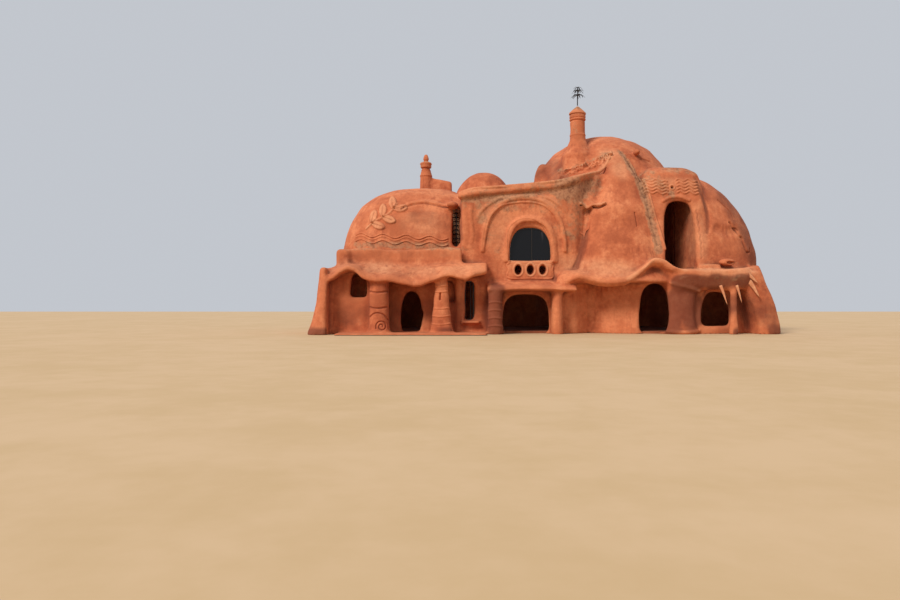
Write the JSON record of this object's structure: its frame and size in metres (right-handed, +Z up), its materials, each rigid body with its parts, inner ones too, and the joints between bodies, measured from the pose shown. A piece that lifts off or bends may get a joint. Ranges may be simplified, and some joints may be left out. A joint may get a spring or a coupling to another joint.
{
  "type": "clay house",
  "caption": "Hand-moulded two-storey clay house with domes, a draped cone, a wavy porch roof and arched openings.",
  "frame": {"origin": "on the ground, in the middle of the house's footprint box", "axes": "+Z up, +X to the right of the front, the front faces -Y"},
  "size_m": [24.45, 12.8, 13.984],
  "materials": {
    "clay": "hand-smoothed baked clay, weathered",
    "pale_clay": "hand-smoothed baked clay, paler",
    "floor_clay": "trodden clay floor",
    "iron": "blackened wrought iron",
    "glass": "dark window glass"
  },
  "bodies": {
    "root": {"ground_floor": "floor_clay", "upper_floor": "floor_clay", "porch_step": "pale_clay", "porch_roof": "clay", "terrace_parapet": "clay", "terrace_spout": "clay", "porch_end_wall": "clay", "porch_bay_wall": "clay", "porch_fold_wall": "clay", "carved_pillar": "pale_clay", "tapered_pier": "clay", "left_wall": "clay", "left_dome": "clay", "slit_window_bars": "iron", "middle_front_wall": "clay", "middle_upper_wall": "clay", "middle_back_wall": "clay", "middle_roof": "clay", "roof_lip": "clay", "window_arch": "clay", "window_surround": "clay", "balcony_panel": "pale_clay", "window_frame": "iron", "window_glass": "glass", "narrow_window_bars": "iron", "plant_shelf": "clay", "entrance_hood": "clay", "entrance_pier": "pale_clay", "entrance_post": "clay", "draped_cone": "clay", "skirt_eave": "clay", "niche_block": "clay", "right_wall": "clay", "right_dome": "clay", "right_end_wall": "clay", "funnel_pillar": "pale_clay", "thin_leg": "clay", "hall_wall": "clay", "hall_dome": "clay", "main_chimney": "pale_clay", "chimney_cap": "pale_clay", "iron_finial": "iron", "small_chimney": "pale_clay", "chimney_block": "clay", "rear_dome": "clay"}
  },
  "joints": []
}
